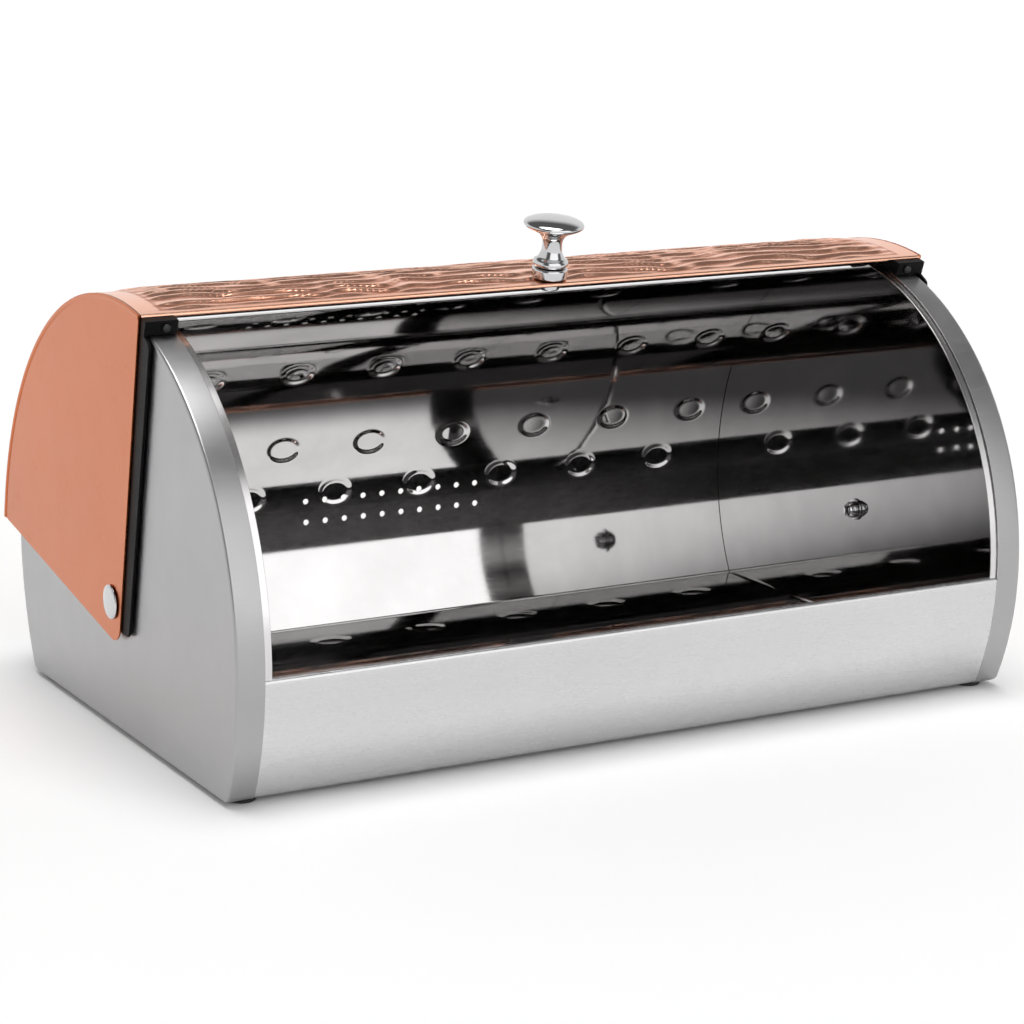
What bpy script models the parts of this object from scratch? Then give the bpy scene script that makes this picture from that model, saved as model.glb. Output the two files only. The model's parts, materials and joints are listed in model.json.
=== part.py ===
"""Roll-top bread box: a drum-shaped steel box with a copper lid that swings back over its top.

+X runs along the box, -Y is the front and +Z is up. The origin is the centre of the footprint,
on the surface that the feet stand on. Angles called "station" are measured in the end view, about
the pivot, from the front (-Y) up and over towards the back. The lid is modelled standing open.
"""

import math

import bmesh
import bpy
from mathutils import Matrix, Vector

MM = 0.001
GAP = 0.3 * MM  # between touching pieces

# Box
BODY_LENGTH = 400 * MM
DRUM_RADIUS = 134 * MM
PIVOT_TO_BASE = 61 * MM  # from the pivot down to the box's flat underside
BASE_CORNER = 5 * MM
FOOT_HEIGHT = 2 * MM
SHEET = 0.8 * MM
END_FLANGE = 13 * MM  # how far each end cap turns in round the drum
END_EDGE_ROUND = 1.6 * MM
OPENING_TRIM = 3.5 * MM
TOE = 9 * MM  # how far the wall sheets turn in under the floor
FLOOR_PAST_CORNER = 1 * MM
LIP_STATION = -3.2
ROOF_STATION = 78.5
HEM_DEPTH = 1.4 * MM
HEM_LENGTH = 3.2 * MM
VENT_COLUMNS = 10
VENT_PITCH = 10.8 * MM
VENT_RADIUS = 1.5 * MM
VENT_STATIONS = (178.2, 182.9)

# Lid: its arc is flatter than the drum, about a centre in front of and below the pivot
LID_RADIUS = 157 * MM
LID_CENTRE_Y = -8.5 * MM
LID_CENTRE_Z = -18 * MM
LID_FRONT_TURN = 77.3
LID_REAR_TURN = 169.5
LID_HALF_LENGTH = 203.4 * MM
SIDE_TIP = (-7.2 * MM, -19.1 * MM)  # where the two straight edges of a lid side would meet
SIDE_TIP_ROUND = 9 * MM
CHEEK = 1.4 * MM
SHOE_INNER_RADIUS = 134.5 * MM
SHOE_INSIDE_X = 187 * MM
SHOE_FRONT_TURN = 75.2
SHOE_SCREW_X = 192.5 * MM
CHEEK_HEEL = (30 * MM, -9.5 * MM)  # corners of the cheek's two straight edges
CHEEK_TIP = (-17.2 * MM, -13.5 * MM)
CHEEK_BROW = (-51.8 * MM, 123 * MM)

# Pivot hardware
PIN_RADIUS = 2.5 * MM
PIN_HEAD_RADIUS = 8 * MM
PIN_HEAD_HEIGHT = 1.9 * MM
PIN_PAST_NUT_SEAT = 3.2 * MM
BUSH_RADIUS = 4 * MM
BUSH_BORE = 2.8 * MM
WASHER = 0.6 * MM
WASHER_RADIUS = 5.5 * MM
NUT_RADIUS = 4 * MM
NUT_HEIGHT = 5.5 * MM

NUT_CROWN = ((0, 1), (0.6, 0.91), (0.9, 0.67), (1, 0.42))  # shares of the nut's radius and height

# Knob: profiles are (radius, height) above the lid sheet, in millimetres, from the bore round to the axis
KNOB_TURN = 80.0
KNOB_SCREW_RADIUS = 2 * MM
KNOB_BORE = 2.15
KNOB_SOCKET = ((0, 15.7), (KNOB_BORE, 15.4))
KNOB_STEM = ((KNOB_BORE, 5.7), (7.2, 5.7), (8, 6.4), (8.3, 7.4), (8.1, 8.6), (7.3, 9.6), (6.1, 10.1))
KNOB_WAIST = ((5.9, 10.9), (5, 12.3), (4.6, 14.8), (4.6, 17.6), (5.1, 19.5), (6.6, 21.1), (8.8, 22.4))
KNOB_BUTTON = ((11.8, 23.7), (13.5, 24.7), (14.1, 25.6), (13.8, 26.5), (12.6, 27.3), (9.1, 28.3), (5, 28.8))
KNOB_TOP = (0, 29.0)
KNOB_COLLAR = ((KNOB_BORE, 0.3), (7.5, 0.3), (8.2, 0.8), (8.2, 4.9), (7.7, 5.4), (KNOB_BORE, 5.4))
KNOB_SCREW = ((0, 15.1), (1.9, 15.1), (1.9, -1.1), (5.2, -1.1), (5.2, -4.5), (4.7, -5.2), (0, -5.2))

FOOT_X = 189 * MM
FOOT_Y = 111 * MM
FOOT_RADIUS = 6 * MM
FOOT_PROFILE = ((0, 0), (0.72, 0), (0.93, 0.3), (1, 1), (0, 1))  # shares of the foot's radius and height

STEP_DEGREES = 3.0
CORNER_STEP_DEGREES = 12.0
ROUND_SIDES = 32

HALF = BODY_LENGTH / 2
REAR_REACH = LID_CENTRE_Y - LID_RADIUS * math.cos(math.radians(LID_REAR_TURN))
PIVOT = Vector((0, (DRUM_RADIUS - REAR_REACH) / 2, FOOT_HEIGHT + PIVOT_TO_BASE))


def clear_scene():
    for obj in list(bpy.data.objects):
        bpy.data.objects.remove(obj, do_unlink=True)


def make_material(name, colour, metallic, roughness):
    material = bpy.data.materials.new(name)
    material.use_nodes = True
    shader = material.node_tree.nodes["Principled BSDF"]
    shader.inputs["Base Color"].default_value = (*colour, 1)
    shader.inputs["Metallic"].default_value = metallic
    shader.inputs["Roughness"].default_value = roughness
    return material


def make_materials():
    return {
        "satin_steel": make_material("satin_steel", (0.56, 0.55, 0.55), 1.0, 0.32),
        "mirror_steel": make_material("mirror_steel", (0.72, 0.71, 0.71), 1.0, 0.06),
        "copper": make_material("copper", (0.86, 0.47, 0.34), 1.0, 0.28),
        "chrome": make_material("chrome", (0.83, 0.83, 0.84), 1.0, 0.04),
        "black_plastic": make_material("black_plastic", (0.012, 0.012, 0.013), 0.0, 0.45),
        "nylon": make_material("nylon", (0.75, 0.74, 0.70), 0.0, 0.5),
        "rubber": make_material("rubber", (0.03, 0.03, 0.03), 0.0, 0.8),
    }


# ---------------------------------------------------------------- outlines, as (y, z) from the pivot


def polar(radius, station):
    angle = math.radians(station)
    return (-radius * math.cos(angle), radius * math.sin(angle))


def lid_polar(inset, turn):
    """A point of the lid's arc; turn is measured like a station, about the lid's own centre."""
    y, z = polar(LID_RADIUS - inset, turn)
    return (y + LID_CENTRE_Y, z + LID_CENTRE_Z)


def stations(first, last, step=STEP_DEGREES):
    count = max(1, math.ceil(abs(last - first) / step))
    return [first + (last - first) * i / count for i in range(count + 1)]


def base_corner(inset):
    """The rounded corner between the drum and the flat base: centre, radius and drum station."""
    radius = BASE_CORNER - inset
    height = PIVOT_TO_BASE - BASE_CORNER
    reach = DRUM_RADIUS - BASE_CORNER
    return (math.sqrt(reach**2 - height**2), -height), radius, math.degrees(math.asin(height / reach))


def corner_arc(inset, side):
    """Points from the flat base up to the drum; side is -1 at the front and 1 at the back."""
    (centre_y, centre_z), radius, below = base_corner(inset)
    points = []
    for angle in stations(90, below, CORNER_STEP_DEGREES):
        turn = math.radians(angle)
        points.append((side * (centre_y + radius * math.cos(turn)), centre_z - radius * math.sin(turn)))
    return points


def drum_outline(inset):
    below = base_corner(inset)[2]
    arc = [polar(DRUM_RADIUS - inset, s) for s in stations(-below, 180 + below)]
    return corner_arc(inset, -1)[:-1] + arc + corner_arc(inset, 1)[-2::-1]


def front_wall_path(inset):
    (centre_y, _), _, below = base_corner(inset)
    toe = [(TOE - centre_y, inset - PIVOT_TO_BASE)]
    arc = [polar(DRUM_RADIUS - inset, s) for s in stations(-below, LIP_STATION)]
    return toe + corner_arc(inset, -1)[:-1] + arc


def back_wall_path(inset):
    (centre_y, _), _, below = base_corner(inset)
    toe = [(centre_y - TOE, inset - PIVOT_TO_BASE)]
    arc = [polar(DRUM_RADIUS - inset, s) for s in stations(ROOF_STATION, 180 + below)]
    return arc + corner_arc(inset, 1)[-2::-1] + toe


def with_hem(outer, inner, at_start):
    """Doubles the sheet's edge inwards over the hem's length, at the start or end of the wall."""
    if not at_start:
        outer, inner = with_hem(outer[::-1], inner[::-1], True)
        return outer[::-1], inner[::-1]
    edge, along = Vector(outer[0]), Vector(outer[1])
    inside = (Vector(inner[0]) - edge).normalized()
    heading = (along - edge).normalized()
    deep = inside * (SHEET + HEM_DEPTH)
    back = edge + heading * HEM_LENGTH
    past = back + heading * SHEET
    outer = [outer[0], tuple(back), tuple(past)] + outer[2:]
    inner = [tuple(edge + deep), tuple(back + deep), tuple(past + inside * SHEET)] + inner[2:]
    return outer, inner


def round_corner(before, corner, after, radius, steps=8):
    """Arc of the given radius that replaces the corner between two straight edges."""
    before, corner, after = Vector(before), Vector(corner), Vector(after)
    to_before, to_after = (before - corner).normalized(), (after - corner).normalized()
    half = to_before.angle(to_after) / 2
    centre = corner + (to_before + to_after).normalized() * (radius / math.sin(half))
    start = corner + to_before * (radius / math.tan(half)) - centre
    end = corner + to_after * (radius / math.tan(half)) - centre
    span = math.pi - 2 * half
    return [
        tuple(centre + (start * math.sin(span * (1 - t)) + end * math.sin(span * t)) / math.sin(span))
        for t in (i / steps for i in range(steps + 1))
    ]


# ---------------------------------------------------------------- solids


def place(point, x):
    return (x, PIVOT.y + point[0], PIVOT.z + point[1])


def finish(bm, name, material, smooth_angle=40.0):
    bmesh.ops.recalc_face_normals(bm, faces=bm.faces)
    mesh = bpy.data.meshes.new(name)
    bm.to_mesh(mesh)
    bm.free()
    mesh.shade_smooth()
    mesh.set_sharp_from_angle(angle=math.radians(smooth_angle))
    if material:
        mesh.materials.append(material)
    obj = bpy.data.objects.new(name, mesh)
    bpy.context.scene.collection.objects.link(obj)
    return obj


def sheet_solid(name, outer, inner, x_low, x_high, material):
    """A bent sheet: two faces a wall apart, four-sided all over, between two ends."""
    bm = bmesh.new()
    rows = [[bm.verts.new(place(p, x)) for p in path] for x in (x_low, x_high) for path in (outer, inner)]
    low_out, low_in, high_out, high_in = rows
    last = len(outer) - 1
    for i in range(last):
        j = i + 1
        bm.faces.new((low_out[i], low_out[j], high_out[j], high_out[i]))
        bm.faces.new((low_in[j], low_in[i], high_in[i], high_in[j]))
        bm.faces.new((low_out[j], low_out[i], low_in[i], low_in[j]))
        bm.faces.new((high_out[i], high_out[j], high_in[j], high_in[i]))
    for i in (0, last):
        bm.faces.new((low_out[i], high_out[i], high_in[i], low_in[i]))
    return finish(bm, name, material)


def plate(name, outline, x_low, x_high, material):
    bm = bmesh.new()
    low = [bm.verts.new(place(p, x_low)) for p in outline]
    face = bm.faces.new(low)
    made = bmesh.ops.extrude_face_region(bm, geom=[face])["geom"]
    verts = [item for item in made if isinstance(item, bmesh.types.BMVert)]
    bmesh.ops.translate(bm, verts=verts, vec=(x_high - x_low, 0, 0))
    return finish(bm, name, material)


def turned(name, profile, matrix, material, sides=ROUND_SIDES):
    """A solid turned about its local Z from (radius, height) points, placed by the matrix."""
    bm = bmesh.new()
    rings = []
    for radius, height in profile:
        if radius == 0:
            rings.append([bm.verts.new((0, 0, height))])
            continue
        turns = [2 * math.pi * i / sides for i in range(sides)]
        rings.append([bm.verts.new((radius * math.cos(t), radius * math.sin(t), height)) for t in turns])
    pairs = list(zip(rings, rings[1:]))
    if len(rings[0]) > 1 and len(rings[-1]) > 1:
        pairs.append((rings[-1], rings[0]))
    for lower, upper in pairs:
        for i in range(sides):
            j = (i + 1) % sides
            low_pair = [lower[i % len(lower)], lower[j % len(lower)]]
            high_pair = [upper[j % len(upper)], upper[i % len(upper)]]
            bm.faces.new(list(dict.fromkeys(low_pair + high_pair)))
    bmesh.ops.transform(bm, matrix=matrix, verts=bm.verts)
    return finish(bm, name, material, 30.0)


def rod(name, radius, start, end, material, sides=ROUND_SIDES):
    """A plain cylinder from start to end."""
    start, end = Vector(start), Vector(end)
    matrix = Matrix.Translation(start) @ (end - start).to_track_quat("Z", "Y").to_matrix().to_4x4()
    length = (end - start).length
    return turned(name, [(0, 0), (radius, 0), (radius, length), (0, length)], matrix, material, sides)


def cut(target, cutter):
    cutter.hide_render = True
    cutter.display_type = "WIRE"
    modifier = target.modifiers.new(cutter.name, "BOOLEAN")
    modifier.operation = "DIFFERENCE"
    modifier.solver = "EXACT"
    modifier.object = cutter


def set_origin(obj, point):
    obj.data.transform(Matrix.Translation(-point))
    obj.location = point


def along_pivot(side):
    """Local Z pointing out along the pivot axis, from the middle of the box."""
    return Matrix.Translation(PIVOT) @ Matrix.Rotation(math.radians(90 * side), 4, "Y")


def side_name(side):
    return "left" if side < 0 else "right"


def ordered(side, near, far):
    """The two ends of a piece in X order, from its distances from the middle."""
    return (near, far) if side > 0 else (-far, -near)


# ---------------------------------------------------------------- box


def rim_point(radius, angle, depth):
    """Inset and distance along X of a point of the cap's rounded rim, on the skin at a depth."""
    return (depth + radius * (1 - math.cos(angle)), HALF - depth - radius * (1 - math.sin(angle)))


def end_cap(side, material):
    """A pressed pan: a flat end with its edge turned in all the way round."""
    name = f"end_cap_{side_name(side)}"
    rounding = [math.radians(a) for a in (90, 60, 30, 0)]
    outside = [rim_point(END_EDGE_ROUND, a, 0) for a in rounding]
    inside = [rim_point(END_EDGE_ROUND - SHEET, a, SHEET) for a in rounding[::-1]]
    loops = outside + [(0, HALF - END_FLANGE), (SHEET, HALF - END_FLANGE)] + inside
    bm = bmesh.new()
    rows = [[bm.verts.new(place(p, side * x)) for p in drum_outline(inset)] for inset, x in loops]
    for row, following in zip(rows, rows[1:]):
        for i in range(len(row)):
            j = (i + 1) % len(row)
            bm.faces.new((row[i], row[j], following[j], following[i]))
    bm.faces.new(rows[0])
    bm.faces.new(rows[-1])
    cap = finish(bm, name, material, 50.0)
    reach = 5 * MM
    ends = [(side * (HALF + d), PIVOT.y, PIVOT.z) for d in (reach, -reach)]
    cut(cap, rod(f"{name}_pin_hole", BUSH_BORE, *ends, None))


def wall_half():
    """Wall sheets stop just short of the inside of the end caps."""
    return HALF - SHEET - GAP


def back_panel(material):
    inset = SHEET + GAP
    outer, inner = with_hem(back_wall_path(inset), back_wall_path(inset + SHEET), True)
    panel = sheet_solid("back_panel", outer, inner, -wall_half(), wall_half(), material)
    reach = 4 * MM
    for row, station in enumerate(VENT_STATIONS):
        for column in range(VENT_COLUMNS):
            x = (column - (VENT_COLUMNS - 1) / 2) * VENT_PITCH
            ends = [place(polar(DRUM_RADIUS + d, station), x) for d in (reach, -reach)]
            cut(panel, rod(f"vent_{row}_{column}", VENT_RADIUS, *ends, None, 10))


def front_panel(material):
    inset = SHEET + GAP
    outer, inner = with_hem(front_wall_path(inset), front_wall_path(inset + SHEET), False)
    sheet_solid("front_panel", outer, inner, -wall_half(), wall_half(), material)


def floor_panel(material):
    """A flat sheet that rests on the turned-in toes of the two walls."""
    low = 2 * (SHEET + GAP) - PIVOT_TO_BASE
    (centre_y, _), _, _ = base_corner(0)
    reach = centre_y + FLOOR_PAST_CORNER
    outline = [(-reach, low), (reach, low), (reach, low + SHEET), (-reach, low + SHEET)]
    plate("floor_panel", outline, -wall_half(), wall_half(), material)


def opening_trim(side, material):
    """The bright band that edges the opening, welded under an end cap's flange."""
    inset = SHEET + GAP
    gap_degrees = math.degrees(GAP / DRUM_RADIUS)
    span = stations(LIP_STATION + gap_degrees, ROOF_STATION - gap_degrees)
    outer, inner = ([polar(DRUM_RADIUS - d, s) for s in span] for d in (inset, inset + SHEET))
    near = HALF - END_FLANGE - OPENING_TRIM
    sheet_solid(f"opening_trim_{side_name(side)}", outer, inner, *ordered(side, near, wall_half()), material)


def foot(side, end, material):
    name = f"foot_{'front' if end < 0 else 'rear'}_{side_name(side)}"
    top = FOOT_HEIGHT - GAP
    profile = [(FOOT_RADIUS * across, top * up) for across, up in FOOT_PROFILE]
    matrix = Matrix.Translation((side * FOOT_X, PIVOT.y + end * FOOT_Y, 0))
    turned(name, profile, matrix, material, 24)


# ---------------------------------------------------------------- pivots


def ring(radius, low, high):
    """Profile of a plain ring with the bush's bore."""
    return [(BUSH_BORE, low), (radius, low), (radius, high), (BUSH_BORE, high)]


def pivot_set(side, materials):
    """A shouldered pin from outside, a bush round it, and a washer and cap nut inside."""
    where = side_name(side)
    head_seat = LID_HALF_LENGTH + GAP
    nut_seat = HALF - SHEET - 2 * GAP - WASHER
    pin_end = nut_seat - PIN_PAST_NUT_SEAT
    dome = [
        (PIN_HEAD_RADIUS * math.cos(math.radians(a)), head_seat + PIN_HEAD_HEIGHT * math.sin(math.radians(a)))
        for a in (15, 35, 55, 75)
    ]
    profile = [(0, pin_end), (PIN_RADIUS, pin_end), (PIN_RADIUS, head_seat), (PIN_HEAD_RADIUS, head_seat)]
    profile += dome + [(0, head_seat + PIN_HEAD_HEIGHT)]
    turned(f"pivot_pin_{where}", profile, along_pivot(side), materials["chrome"])
    bush = ring(BUSH_RADIUS, HALF + GAP, LID_HALF_LENGTH)
    turned(f"pivot_bush_{where}", bush, along_pivot(side), materials["nylon"])
    washer = ring(WASHER_RADIUS, nut_seat + GAP, HALF - SHEET - GAP)
    turned(f"pivot_washer_{where}", washer, along_pivot(side), materials["chrome"])
    crown = [(NUT_RADIUS * across, nut_seat - NUT_HEIGHT * up) for across, up in NUT_CROWN]
    thread_end = pin_end - GAP
    thread = [(BUSH_BORE, nut_seat), (BUSH_BORE, thread_end), (0, thread_end)]
    nut = crown + [(NUT_RADIUS, nut_seat)] + thread
    turned(f"pivot_nut_{where}", nut, along_pivot(side), materials["chrome"])


# ---------------------------------------------------------------- lid


def lid_sheet(material):
    """The curved top, with its front edge folded under for a smooth rim."""
    turns = stations(LID_FRONT_TURN, LID_REAR_TURN)
    outer, inner = ([lid_polar(d, t) for t in turns] for d in (0, SHEET))
    reach = LID_HALF_LENGTH - SHEET - GAP
    sheet = sheet_solid("lid_sheet", outer, inner, -reach, reach, material)
    matrix = knob_matrix()
    ends = [matrix @ Vector((0, 0, d)) for d in (5 * MM, -5 * MM)]
    cut(sheet, rod("lid_sheet_screw_hole", KNOB_SCREW_RADIUS + GAP, *ends, None, 16))
    set_origin(sheet, PIVOT)


def lid_side(side, material):
    """A flat plate seen from the end as an arc between two straight edges that meet in a round tip."""
    arc = [lid_polar(0, t) for t in stations(LID_FRONT_TURN, LID_REAR_TURN)]
    outline = arc + round_corner(arc[-1], SIDE_TIP, arc[0], SIDE_TIP_ROUND)
    reach = ordered(side, LID_HALF_LENGTH - SHEET, LID_HALF_LENGTH)
    panel = plate(f"lid_side_{side_name(side)}", outline, *reach, material)
    bush_hole(panel, side)
    set_origin(panel, PIVOT)


def bush_hole(panel, side):
    ends = [(side * (HALF + d), PIVOT.y, PIVOT.z) for d in (9 * MM, -5 * MM)]
    cut(panel, rod(f"{panel.name}_bush_hole", BUSH_RADIUS + GAP, *ends, None))


def lid_liner(side, material):
    """The black moulding inside a lid end: a flat cheek, and a shoe that fills the rim over the drum."""
    far = LID_HALF_LENGTH - SHEET - GAP
    turns = stations(SHOE_FRONT_TURN, LID_REAR_TURN - 0.6)
    rim = [lid_polar(SHEET + GAP, t) for t in turns]
    under = [tuple(Vector(point).normalized() * SHOE_INNER_RADIUS) for point in rim]
    edge = [CHEEK_HEEL] + round_corner(CHEEK_HEEL, CHEEK_TIP, CHEEK_BROW, 4.5 * MM)
    edge += round_corner(CHEEK_TIP, CHEEK_BROW, under[0], 3 * MM, 3)
    bm = bmesh.new()

    def row(path, x):
        return [bm.verts.new(place(point, side * x)) for point in path]

    rim_far, under_far, edge_far = row(rim, far), row((under[0], under[-1]), far), row(edge, far)
    under_near, edge_near = row(under, far - CHEEK), row(edge, far - CHEEK)
    rim_inside, under_inside = row(rim, SHOE_INSIDE_X), row(under, SHOE_INSIDE_X)
    bm.faces.new(rim_far + [under_far[1]] + edge_far + [under_far[0]])
    bm.faces.new(under_near + edge_near)
    for i in range(len(turns) - 1):
        for low, high in ((rim_far, rim_inside), (rim_inside, under_inside), (under_inside, under_near)):
            bm.faces.new((low[i], low[i + 1], high[i + 1], high[i]))
    for i, corner in ((0, under_far[0]), (-1, under_far[1])):
        bm.faces.new((rim_far[i], rim_inside[i], under_inside[i], under_near[i], corner))
    far_run, near_run = [under_far[1], *edge_far, under_far[0]], [under_near[-1], *edge_near, under_near[0]]
    for i in range(len(far_run) - 1):
        bm.faces.new((far_run[i], far_run[i + 1], near_run[i + 1], near_run[i]))
    liner = finish(bm, f"lid_liner_{side_name(side)}", material)
    bush_hole(liner, side)
    set_origin(liner, PIVOT)


def shoe_screw(side, material):
    """A small pan-head screw in the front face of a shoe."""
    top = Vector(lid_polar(SHEET + GAP, SHOE_FRONT_TURN))
    across = top.normalized()
    ahead = Vector((-across.y, across.x))
    seat = across * (top.length + SHOE_INNER_RADIUS) / 2 + ahead * GAP
    aim = Vector((0, ahead.x, ahead.y)).to_track_quat("Z", "X").to_matrix().to_4x4()
    matrix = Matrix.Translation(place(seat, side * SHOE_SCREW_X)) @ aim
    profile = [(0, 0), (2 * MM, 0), (2 * MM, 0.5 * MM), (1.5 * MM, 1.1 * MM), (0, 1.4 * MM)]
    screw = turned(f"shoe_screw_{side_name(side)}", profile, matrix, material, 20)
    set_origin(screw, PIVOT)


# ---------------------------------------------------------------- knob


def knob_matrix():
    """Local Z stands out of the lid sheet at the knob, with its zero on the sheet's outer face."""
    lean = Matrix.Rotation(math.radians(90 - KNOB_TURN), 4, "X")
    return Matrix.Translation(place(lid_polar(0, KNOB_TURN), 0)) @ lean


def knob_set(materials):
    matrix = knob_matrix()
    knob = (*KNOB_SOCKET, *KNOB_STEM, *KNOB_WAIST, *KNOB_BUTTON, KNOB_TOP)
    for name, profile in (("knob_collar", KNOB_COLLAR), ("knob", knob), ("knob_screw", KNOB_SCREW)):
        points = [(radius * MM, height * MM) for radius, height in profile]
        piece = turned(name, points, matrix, materials["chrome"])
        set_origin(piece, PIVOT)


def main():
    clear_scene()
    materials = make_materials()
    back_panel(materials["mirror_steel"])
    front_panel(materials["satin_steel"])
    floor_panel(materials["mirror_steel"])
    lid_sheet(materials["copper"])
    knob_set(materials)
    for side in (-1, 1):
        end_cap(side, materials["satin_steel"])
        opening_trim(side, materials["mirror_steel"])
        for end in (-1, 1):
            foot(side, end, materials["rubber"])
        pivot_set(side, materials)
        lid_side(side, materials["copper"])
        lid_liner(side, materials["black_plastic"])
        shoe_screw(side, materials["chrome"])


main()
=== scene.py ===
"""Roll-top bread box: the looks of its sheets, lid, knob, pivots and feet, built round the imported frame.

+X runs along the box, -Y is the front and +Z is up. Angles called "station" are measured about the
pivot from the front (-Y), up and over towards the back. Angles called "turn" are measured in the
same way about the centre of the lid's flatter arc.
"""

import json
import math

import bpy
from bpy.props import FloatProperty, FloatVectorProperty, IntProperty, PointerProperty
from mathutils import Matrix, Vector, noise

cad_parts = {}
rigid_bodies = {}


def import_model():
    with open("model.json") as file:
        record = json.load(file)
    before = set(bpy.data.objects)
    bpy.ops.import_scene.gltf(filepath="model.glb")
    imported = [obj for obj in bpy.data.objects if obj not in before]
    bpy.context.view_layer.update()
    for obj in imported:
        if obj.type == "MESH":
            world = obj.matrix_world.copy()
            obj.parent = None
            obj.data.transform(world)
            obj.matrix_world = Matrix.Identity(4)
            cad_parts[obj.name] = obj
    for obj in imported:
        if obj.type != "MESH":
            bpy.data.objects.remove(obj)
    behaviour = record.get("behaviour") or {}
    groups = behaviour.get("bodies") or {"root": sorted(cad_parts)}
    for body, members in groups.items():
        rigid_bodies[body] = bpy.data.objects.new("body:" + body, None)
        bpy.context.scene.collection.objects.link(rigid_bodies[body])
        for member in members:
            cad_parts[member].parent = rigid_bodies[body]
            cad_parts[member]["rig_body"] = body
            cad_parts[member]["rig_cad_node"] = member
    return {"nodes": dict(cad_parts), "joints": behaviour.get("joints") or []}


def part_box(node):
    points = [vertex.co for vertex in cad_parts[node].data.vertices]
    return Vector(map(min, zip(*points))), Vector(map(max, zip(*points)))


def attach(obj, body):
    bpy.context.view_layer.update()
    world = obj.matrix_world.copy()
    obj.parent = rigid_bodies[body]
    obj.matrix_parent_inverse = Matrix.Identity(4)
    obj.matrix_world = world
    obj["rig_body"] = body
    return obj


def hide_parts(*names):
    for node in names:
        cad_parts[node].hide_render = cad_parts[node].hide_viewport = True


bl_info = {
    "name": "Roll-top bread box",
    "version": (1, 0, 0),
    "blender": (4, 5, 0),
    "location": "3D View > Sidebar > Bread Box",
    "description": "Builds a steel bread box with a copper roll top round its packed frame",
    "category": "Object",
}

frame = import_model()

MM = 0.001
GAP = 0.3 * MM
HINGE = frame["joints"][0]
PIVOT = Vector(HINGE["pos_m"])

SHEET = 0.8 * MM
END_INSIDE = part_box("end_cap_right")[1].x - SHEET
WALL_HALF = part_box("back_panel")[1].x
LID_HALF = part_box("lid_side_right")[1].x
LID_SHEET_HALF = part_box("lid_sheet")[1].x
FLOOR_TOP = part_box("floor_panel")[1].z
FLOOR_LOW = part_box("floor_panel")[0].z
FLOOR_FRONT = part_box("floor_panel")[0].y
FLOOR_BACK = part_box("floor_panel")[1].y
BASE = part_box("end_cap_right")[0].z
LID_CENTRE = PIVOT + Vector((0, -8.5 * MM, -18 * MM))
HALF_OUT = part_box("end_cap_right")[1].x
X_AXIS = (1, 0, 0)
TINY = 0.02 * MM

TOE = 8.6 * MM  # how far the wall sheets turn in under the floor
HEM = 3.4 * MM  # how far a folded edge runs back along its sheet
LID_HEM = 5 * MM
ROOF_TURN = 0.3 * MM  # radius that an edge is folded round, on its skin
LIP_TURN = 1.1 * MM
LID_TURN = 0.9 * MM

BACK_DIMPLE = (9.8 * MM, 6.9 * MM)  # half lengths, along the box and across it
FLOOR_DIMPLE = (11.5 * MM, 7.5 * MM)
BACK_DIMPLE_PITCH = 48 * MM
FLOOR_DIMPLE_PITCH = 53 * MM
FLOOR_DIMPLE_ROW = 89 * MM  # behind the pivot
VENT_COLUMNS = 10
VENT_PITCH = 10.8 * MM
VENT_RADIUS = 1.5 * MM
VENT_STATIONS = (178.2, 182.9)

# Profiles of the turned pieces: (radius, height) in millimetres, the knob's from the lid sheet up
KNOB_TURN = 80.0
KNOB_BUTTON = (
    (0, 6.3), (5.0, 6.0), (7.2, 5.9), (8.0, 6.4), (8.35, 7.4), (8.1, 8.6), (7.3, 9.6), (6.1, 10.1),
    (5.9, 10.9), (5.0, 12.3), (4.6, 14.8), (4.6, 17.6), (5.1, 19.5), (6.6, 21.1), (8.8, 22.4),
    (11.8, 23.7), (13.6, 24.7), (14.2, 25.6), (13.9, 26.5), (12.6, 27.3), (9.1, 28.3), (5.0, 28.8),
    (0, 29.0),
)
KNOB_COLLAR = ((0, 0.4), (7.4, 0.4), (8.2, 0.9), (8.25, 4.7), (7.7, 5.4), (6.6, 5.6), (0, 5.6))
KNOB_SCREW = ((0, -1.2), (5.2, -1.2), (5.2, -4.4), (4.6, -5.1), (1.4, -5.2), (1.2, -4.4), (0, -4.4))
PIN_HEAD = ((7.2, 0), (8.0, 0.45), (7.7, 0.95), (6.6, 1.4), (4.6, 1.75), (2.4, 1.9), (0, 1.95))
NUT_CROWN = ((0, -6.7), (1.6, -6.5), (2.8, -5.8), (3.5, -4.7), (3.6, -3.7), (4.2, -3.6), (4.2, -1.2))
NUT_THREAD = ((2.7, -1.2), (2.7, -4.1), (0, -4.1))
FOOT_PROFILE = ((0, 0.25), (2.6, 0.25), (3.0, 0.0), (5.0, 0.0), (5.8, 0.5))
SEAM_SECTION = ((0.1, 0), (-0.15, 0.45), (0.1, 0.85), (0.7, 1.0), (1.5, 0.95), (2.0, 0.7), (2.2, 0.0))


# ---------------------------------------------------------------- settings


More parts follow.
